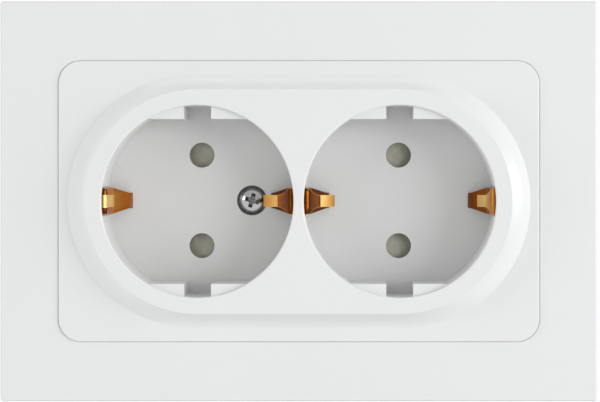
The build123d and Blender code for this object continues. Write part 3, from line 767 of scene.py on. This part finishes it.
seat_low, seat_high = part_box("left_shutter_spring")
coil_length = (seat_high.x - seat_low.x) / MM
coil_width = (seat_high.z - seat_low.z) / MM
let_go()
bpy.ops.mesh.primitive_circle_add(
    vertices=WIRE_SIDES, radius=WIRE / 2 * MM, location=((coil_width - WIRE) / 2 * MM, 0, 0),
    rotation=(math.pi / 2, 0, 0))
left_coil = settle("left_coil_spring")
apply(left_coil, "SCREW", axis="Z", angle=2 * math.pi, iterations=COIL_TURNS, steps=COIL_STEPS,
      render_steps=COIL_STEPS, screw_offset=(coil_length - WIRE) / COIL_TURNS * MM)
edit(left_coil)
bpy.ops.mesh.select_all(action="SELECT")
bpy.ops.mesh.fill_holes(sides=0)
let_go()
outward(left_coil)
smooth(left_coil, 50)
right_coil = left_coil.copy()
right_coil.data = left_coil.data.copy()
right_coil.name = "right_coil_spring"
bpy.context.scene.collection.objects.link(right_coil)
print("coil", round(coil_length, 2), "mm long,", round(coil_width, 2), "mm wide")

for coil, hand, fixed_end in ((left_coil, "left", 1), (right_coil, "right", 0)):
    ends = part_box(hand + "_shutter_spring")
    middle = (ends[0] + ends[1]) / 2
    hold(coil)
    coil.rotation_euler = (0, math.pi / 2, 0)
    coil.location = (ends[0].x + WIRE / 2 * MM, middle.z, -middle.y)
    bpy.ops.object.transform_apply(location=True, rotation=True, scale=True)
    stand_up(coil, "socket", "spring_steel", hand + "_shutter_spring")
    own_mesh(coil)

# %% [markdown]
# Finishes.
# Each finish is a small tree of nodes on Object coordinates, so the grain has its true size and stays
# put on the piece. A value that is the same all over is set on the shader's own socket, and only what
# varies gets a texture.

# %% Node helpers
def new_finish(name, **sockets):
    """A material whose shader has its plain values set. Socket names are given with _ for a space."""
    material = bpy.data.materials.new(name)
    material.use_nodes = True
    shader = material.node_tree.nodes["Principled BSDF"]
    for socket, value in sockets.items():
        shader.inputs[socket.replace("_", " ")].default_value = value
    return material


def add_node(material, kind, inputs=None, **settings):
    """A node of one kind with its settings and input values."""
    node = material.node_tree.nodes.new("ShaderNode" + kind)
    for key, value in settings.items():
        setattr(node, key, value)
    for key, value in (inputs or {}).items():
        node.inputs[key].default_value = value
    return node


def join(material, out_socket, in_socket):
    """A link between two sockets."""
    material.node_tree.links.new(out_socket, in_socket)


def grain(material, scale, detail=2.0, stretch=(1, 1, 1)):
    """Noise of a size given in grains per metre, pulled out along an axis if asked."""
    place = add_node(material, "TexCoord")
    mapping = add_node(material, "Mapping", {"Scale": stretch})
    noise = add_node(material, "TexNoise", {"Scale": scale, "Detail": detail})
    join(material, place.outputs["Object"], mapping.inputs["Vector"])
    join(material, mapping.outputs["Vector"], noise.inputs["Vector"])
    return noise.outputs["Fac"]


def tint(material, amount, low, high, start=0.35, end=0.65, stops=()):
    """Colour between two tones as an amount goes from start to end, through any stops in between."""
    node = add_node(material, "ValToRGB")
    ramp = node.color_ramp
    ramp.elements[0].position, ramp.elements[0].color = start, (*low, 1)
    ramp.elements[1].position, ramp.elements[1].color = end, (*high, 1)
    for position, tone in stops:
        ramp.elements.new(position).color = (*tone, 1)
    join(material, amount, node.inputs["Fac"])
    join(material, node.outputs["Color"], material.node_tree.nodes["Principled BSDF"].inputs["Base Color"])


def gloss(material, amount, low, high):
    """Roughness between two values."""
    ends = {"From Min": 0.3, "From Max": 0.7, "To Min": low, "To Max": high}
    span = add_node(material, "MapRange", ends)
    join(material, amount, span.inputs["Value"])
    join(material, span.outputs["Result"], material.node_tree.nodes["Principled BSDF"].inputs["Roughness"])


def relief(material, amount, depth, strength):
    """Fine relief, with its depth in mm."""
    bump = add_node(material, "Bump", {"Strength": strength, "Distance": depth * MM})
    join(material, amount, bump.inputs["Height"])
    join(material, bump.outputs["Normal"], material.node_tree.nodes["Principled BSDF"].inputs["Normal"])


print("finish helpers ready")

# %% [markdown]
# White moulding, base plastic and shutter plastic.
# The frame and the cover are bright white with a satin sheen: the mould was polished, but not to a
# mirror. The base behind them is a duller heat-resisting grey, and the shutters are a warm grey.

# %% Plastics
white_moulding = new_finish("white_moulding", Specular_IOR_Level=0.5)
tint(white_moulding, grain(white_moulding, 22, 3), (0.782, 0.791, 0.788), (0.795, 0.803, 0.801))
gloss(white_moulding, grain(white_moulding, 420, 2), 0.28, 0.31)
relief(white_moulding, grain(white_moulding, 1900, 2), 0.005, 0.04)

base_plastic = new_finish("base_plastic", Specular_IOR_Level=0.35)
tint(base_plastic, grain(base_plastic, 500, 3), (0.335, 0.335, 0.318), (0.36, 0.36, 0.343))
gloss(base_plastic, grain(base_plastic, 260, 3), 0.45, 0.62)
relief(base_plastic, grain(base_plastic, 1400, 3), 0.015, 0.2)

shutter_plastic = new_finish("warm_grey_plastic", Specular_IOR_Level=0.4)
tint(shutter_plastic, grain(shutter_plastic, 700, 4), (0.46, 0.46, 0.375), (0.53, 0.525, 0.44))
gloss(shutter_plastic, grain(shutter_plastic, 300, 2), 0.38, 0.52)
relief(shutter_plastic, grain(shutter_plastic, 1600, 2, (1, 1, 0.15)), 0.02, 0.25)
print("plastics:", white_moulding.name, base_plastic.name, shutter_plastic.name)

# %% [markdown]
# Brass, zinc, nickel and spring wire.
# Rolled brass shows fine lines along the sheet. On the clips it is bright where every plug rubs it. It is
# painted dark as shade on the legs and folds that lie in shade in the well, and the folds are painted dark so
# that no highlight runs along them. A noise can't know where a plug rubs or where shade falls, so each corner
# of the mesh gets a tone value, and the finish reads its colour from that. Zinc on pressed steel has soft
# crystal patches. Nickel on a screw is bright, with small pits and scuffs. On the cover screw it is painted
# dark as shade round the edge of the head and in the recess: its tone follows the distance from the screw's
# axis and the depth below the face.

# %% Brass
MOTTLE = 0.16

sheet_brass = new_finish("sheet_brass", Metallic=1.0)
tint(sheet_brass, grain(sheet_brass, 260, 4), (0.60, 0.34, 0.09), (0.74, 0.45, 0.14))
gloss(sheet_brass, grain(sheet_brass, 900, 3, (0.08, 0.08, 1)), 0.2, 0.36)
relief(sheet_brass, grain(sheet_brass, 2400, 3, (0.05, 0.05, 1)), 0.01, 0.2)

clip_brass = new_finish("clip_brass", Metallic=1.0)
wear_and_shade = add_node(clip_brass, "Attribute", attribute_name="wear_and_shade")
mottled = add_node(clip_brass, "Math", {1: MOTTLE}, operation="MULTIPLY_ADD")
join(clip_brass, grain(clip_brass, 420, 4), mottled.inputs[0])
join(clip_brass, wear_and_shade.outputs["Fac"], mottled.inputs[2])
# The dark, red end of this ramp is painted shade and painted reflection of the dark well on the legs and
# folds. The bright end is brass rubbed by the plugs.
tint(clip_brass, mottled.outputs["Value"], (0.13, 0.032, 0.002), (0.95, 0.68, 0.25), 0.08, 1.08,
     stops=((0.36, (0.52, 0.145, 0.011)), (0.78, (0.80, 0.45, 0.12))))
gloss(clip_brass, mottled.outputs["Value"], 0.22, 0.5)
relief(clip_brass, grain(clip_brass, 2600, 3, (0.05, 0.05, 1)), 0.01, 0.25)
print("brass:", sheet_brass.name, clip_brass.name)

# %% Zinc, nickel and spring wire
zinc_coat = new_finish("zinc_coat", Metallic=1.0)
crystals = add_node(zinc_coat, "TexVoronoi", {"Scale": 420.0})
crystal_place = add_node(zinc_coat, "TexCoord")
join(zinc_coat, crystal_place.outputs["Object"], crystals.inputs["Vector"])
tint(zinc_coat, crystals.outputs["Color"], (0.565, 0.575, 0.59), (0.635, 0.645, 0.655), 0.2, 0.8)
gloss(zinc_coat, grain(zinc_coat, 350, 3), 0.3, 0.48)
relief(zinc_coat, grain(zinc_coat, 1100, 3), 0.02, 0.2)

nickel = new_finish("nickel", Metallic=1.0)
tint(nickel, grain(nickel, 500, 3), (0.36, 0.36, 0.355), (0.52, 0.52, 0.515))
gloss(nickel, grain(nickel, 1200, 3), 0.09, 0.18)
relief(nickel, grain(nickel, 1800, 3), 0.01, 0.15)

spring_wire = new_finish("spring_wire", Metallic=1.0)
tint(spring_wire, grain(spring_wire, 900, 3), (0.30, 0.30, 0.31), (0.45, 0.45, 0.46))
gloss(spring_wire, grain(spring_wire, 1500, 2, (0.1, 1, 1)), 0.25, 0.42)
relief(spring_wire, grain(spring_wire, 3000, 2, (0.1, 1, 1)), 0.01, 0.3)
print("metals:", zinc_coat.name, nickel.name, spring_wire.name)

# %% Nickel of the cover screw, painted dark as shade round its edge and in its recess
RIM_SHADE_RADII = (2.3, 1.95)
RECESS_HEIGHTS = (4.0, 4.7)
RECESS_TONE = 0.22
SCUFF = 0.3

scuffed_shaded_nickel = new_finish("scuffed_shaded_nickel", Metallic=1.0)
screw_place = add_node(scuffed_shaded_nickel, "TexCoord")
from_axis = add_node(scuffed_shaded_nickel, "Mapping", {"Location": (-SCREW_X * MM, 0, 0), "Scale": (1, 0, 1)})
distance = add_node(scuffed_shaded_nickel, "VectorMath", operation="LENGTH")
# Painted shade: the head is painted dark beyond a radius round its edge, and darker again down in the recess.
rim_shade = add_node(scuffed_shaded_nickel, "MapRange", {"From Min": RIM_SHADE_RADII[0] * MM, "From Max": RIM_SHADE_RADII[1] * MM})
height = add_node(scuffed_shaded_nickel, "SeparateXYZ")
recess_shade = add_node(scuffed_shaded_nickel, "MapRange", {
    "From Min": -RECESS_HEIGHTS[0] * MM, "From Max": -RECESS_HEIGHTS[1] * MM, "To Min": RECESS_TONE})
painted_shade = add_node(scuffed_shaded_nickel, "Math", operation="MULTIPLY")
scuffs_and_shade = add_node(scuffed_shaded_nickel, "Math", {1: SCUFF}, operation="MULTIPLY_ADD")
join(scuffed_shaded_nickel, screw_place.outputs["Object"], from_axis.inputs["Vector"])
join(scuffed_shaded_nickel, from_axis.outputs["Vector"], distance.inputs[0])
join(scuffed_shaded_nickel, distance.outputs["Value"], rim_shade.inputs["Value"])
join(scuffed_shaded_nickel, grain(scuffed_shaded_nickel, 1500, 4), scuffs_and_shade.inputs[0])
join(scuffed_shaded_nickel, screw_place.outputs["Object"], height.inputs["Vector"])
join(scuffed_shaded_nickel, height.outputs["Y"], recess_shade.inputs["Value"])
join(scuffed_shaded_nickel, rim_shade.outputs["Result"], painted_shade.inputs[0])
join(scuffed_shaded_nickel, recess_shade.outputs["Result"], painted_shade.inputs[1])
join(scuffed_shaded_nickel, painted_shade.outputs["Value"], scuffs_and_shade.inputs[2])
tint(scuffed_shaded_nickel, scuffs_and_shade.outputs["Value"], (0.10, 0.10, 0.10), (0.66, 0.66, 0.655), 0.05, 1.0)
gloss(scuffed_shaded_nickel, grain(scuffed_shaded_nickel, 1200, 3), 0.1, 0.2)
relief(scuffed_shaded_nickel, grain(scuffed_shaded_nickel, 1500, 3), 0.02, 0.3)
print("worn metal:", scuffed_shaded_nickel.name)

# %% [markdown]
# Dressing the pieces.
# A solid that stays in view gets the finish of its slot, and so do the pieces drawn here. The earth strip and
# the cover screw then get the finishes that were made for them, with their painted shade: rubbed and shaded
# brass, and scuffed nickel that is painted dark round the head's edge and in the recess.

# %% Each piece gets its finish
SLOT_FINISH = {
    "white_plastic": white_moulding, "grey_plastic": base_plastic, "shutter_plastic": shutter_plastic,
    "brass": sheet_brass, "zinc_steel": zinc_coat, "plated_steel": nickel, "spring_steel": spring_wire}


def dress(piece, material):
    """One finish all over a piece."""
    piece.data.materials.clear()
    piece.data.materials.append(material)


for part in frame["record"]["subparts"]:
    dress(frame["nodes"][part["node"]], SLOT_FINISH[part["material_slot"]])
for piece in (outer, cover, screw, strip, left_coil, right_coil):
    dress(piece, SLOT_FINISH[piece["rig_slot"]])
dress(strip, clip_brass)
dress(screw, scuffed_shaded_nickel)

# %% [markdown]
# Rubbing and painted shade on the clips. A clip has five tones, from 0 for dark to 1 for bright: its leg, its
# fold, the end of its root, the start of the band that the plug rubs, and its tip. The band is bright where
# plugs rub it. The dark legs and folds are painted shade, deepest on the two inner clips, which face away
# from the light, and the first clip's leg faces the light and is painted lit. The tone changes evenly from
# one to the next, the leg is painted darker towards its foot and its edges, as shade, and the cut edges of
# the tongue are rubbed bright. Beside the band, the shortest tongue was never rubbed, and its flanks and fold
# are painted dark as shade.

# %% Rubbing and painted shade values on the strip's mesh
# Per clip: leg, fold, root end, band start and tip. Low legs and folds are painted shade; the first clip's
# high leg and fold are painted lit.
CLIP_WEAR_AND_SHADE = (
    (0.62, 0.95, 1.0, 1.0, 0.6), (0.06, 0.0, 0.24, 1.0, 0.42),
    (0.06, 0.0, 0.22, 1.0, 0.3), (0.22, 0.4, 0.92, 0.95, 0.7))
STRIP_WEAR = 0.65
EDGE_WEAR = 0.8
EDGE_LEAN = (0.2, 0.95)
RUB_HALF = RUB_CUT + 0.02
SHORT_REACH = 3
UNRUBBED_AND_SHADED = (0.1, 0, 0, 0, 0)
LEG_FADE = 6
LEG_SHADE = 0.5
CLIP_ROOM = (-1, 8)
FOLD_DROP = 1.5
TONGUE_GAP = 0.4


def worn_and_shaded(tones, on_tongue, height, across):
    """Rubbing and painted shade at a height, and a way across from the middle, on the leg or on the tongue of
    one clip.
    """
    leg, fold, root, band, tip = tones
    drop = CLIP_TOP - height
    if not on_tongue:
        # Painted shade: the leg is darker towards its foot and towards its edges.
        up = min(1, (height - FLOOR) / LEG_FADE)
        aside = min(1, abs(across) / LEG_HALF)
        return leg * (1 - LEG_SHADE + LEG_SHADE * up) * (1 - LEG_SHADE * aside)
    if drop < KNEE_DROP:
        return fold + (root - fold) * max(0, drop) / KNEE_DROP
    return band + (tip - band) * (drop - KNEE_DROP) / (TONGUE_DROP - KNEE_DROP)


wear_and_shade_values = strip.data.attributes.new("wear_and_shade", "FLOAT", "CORNER")
for value in wear_and_shade_values.data:
    value.value = STRIP_WEAR
for face in strip.data.polygons:
    px, height, pz = face.center.x / MM, -face.center.y / MM, face.center.z / MM
    for (x, side, reach), tones in zip(CLIP_PLACES, CLIP_WEAR_AND_SHADE):
        inward = side * (x + side * WELL_RADIUS - px)
        if height < FLOOR_BACK + 0.1 or not CLIP_ROOM[0] < inward < CLIP_ROOM[1]:
            continue
        leg_line = LEG_KNEE[0] + (FOLD[0] - LEG_KNEE[0]) * (height - LEG_KNEE[1]) / (CLIP_TOP - LEG_KNEE[1])
        on_tongue = height > LEG_KNEE[1] + TONGUE_GAP and inward > leg_line + TONGUE_GAP
        # Beside the band, the shortest tongue is unrubbed, and its flanks and fold are painted dark as shade.
        if reach < SHORT_REACH and abs(pz) > RUB_HALF and (on_tongue or height > CLIP_TOP - FOLD_DROP):
            tones = UNRUBBED_AND_SHADED
        for loop in face.loop_indices:
            corner = strip.data.vertices[strip.data.loops[loop].vertex_index]
            amount = worn_and_shaded(tones, on_tongue, -corner.co.y / MM, corner.co.z / MM)
            if on_tongue and EDGE_LEAN[0] < abs(face.normal.z) < EDGE_LEAN[1]:
                amount = max(amount, EDGE_WEAR)
            wear_and_shade_values.data[loop].value = amount
amounts = [value.value for value in wear_and_shade_values.data]
print("wear from", round(min(amounts), 2), "to", round(max(amounts), 2))

# %% [markdown]
# Light and floor.
# The photograph has one broad soft light low on the right, a weaker one far round on the left, and a
# bright room. Area lights give that: the right ones whiten the rim's right slope and leave a soft
# shadow beyond the left one, and the left one keeps the slope on that side from going dull. It is
# hidden from reflections, or it would draw a line along that slope. A weak fill in front lights the
# wells, and a lamp overhead lights the floor. The floor is plain and pale and glows a little, as a
# light table does, so that the lower edges stay bright. It lies just below the socket, which hangs on a
# wall in use.

# %% Lights
def soft_light(name, place, size, power):
    """A rectangular area light in metres and watts, turned towards the socket."""
    data = bpy.data.lights.new(name, "AREA")
    data.shape = "RECTANGLE"
    data.size, data.size_y = size
    data.energy = power
    light = bpy.data.objects.new(name, data)
    bpy.context.scene.collection.objects.link(light)
    light.location = place
    flat = math.hypot(place[0], place[1])
    light.rotation_euler = (math.atan2(flat, place[2]), 0, math.atan2(place[0], -place[1]))
    return light


soft_light("right_softbox", (1.12, -1.0, 0.12), (1.15, 0.34), 8.9)
soft_light("right_strip", (1.42, -0.42, 0.2), (0.4, 0.45), 3.5)
soft_light("left_strip", (-1.45, -0.39, 0.12), (0.4, 0.34), 5.0).visible_glossy = False
soft_light("front_fill", (-0.95, -1.1, 0.2), (0.5, 0.4), 1.6)
soft_light("overhead", (0, -0.17, 1.19), (1.0, 0.4), 1.5)

# %% Bright room
ROOM_LIGHT = 0.51
ROOM_SEEN = 1.0

world = bpy.data.worlds.new("bright_room")
bpy.context.scene.world = world
world.use_nodes = True
room = world.node_tree.nodes["Background"]
room.inputs["Color"].default_value = (1, 1, 1, 1)
seen = world.node_tree.nodes.new("ShaderNodeLightPath")
level = world.node_tree.nodes.new("ShaderNodeMapRange")
level.inputs["To Min"].default_value = ROOM_LIGHT
level.inputs["To Max"].default_value = ROOM_SEEN
world.node_tree.links.new(seen.outputs["Is Camera Ray"], level.inputs["Value"])
world.node_tree.links.new(level.outputs["Result"], room.inputs["Strength"])
bpy.context.scene.view_settings.view_transform = "Standard"
print("room light", ROOM_LIGHT, "on the socket, and", ROOM_SEEN, "where the camera sees the room")

# %% Floor
FLOOR_DROP = 5
FLOOR_SIZE = (4, 2)
FLOOR_Y = -0.97
FLOOR_GLOW = 0.12

let_go()
bpy.ops.mesh.primitive_plane_add(size=1)
floor = bpy.context.object
floor.scale = (*FLOOR_SIZE, 1)
floor.location = (0, FLOOR_Y, cad_low.z - FLOOR_DROP * MM)
floor = settle("pale_floor")
floor_paint = new_finish(
    "pale_floor", Roughness=0.9, Emission_Color=(1, 1, 1, 1), Emission_Strength=FLOOR_GLOW)
tint(floor_paint, grain(floor_paint, 6, 2), (0.82, 0.82, 0.82), (0.85, 0.85, 0.85))
dress(floor, floor_paint)
print("floor", FLOOR_DROP, "mm below the socket")
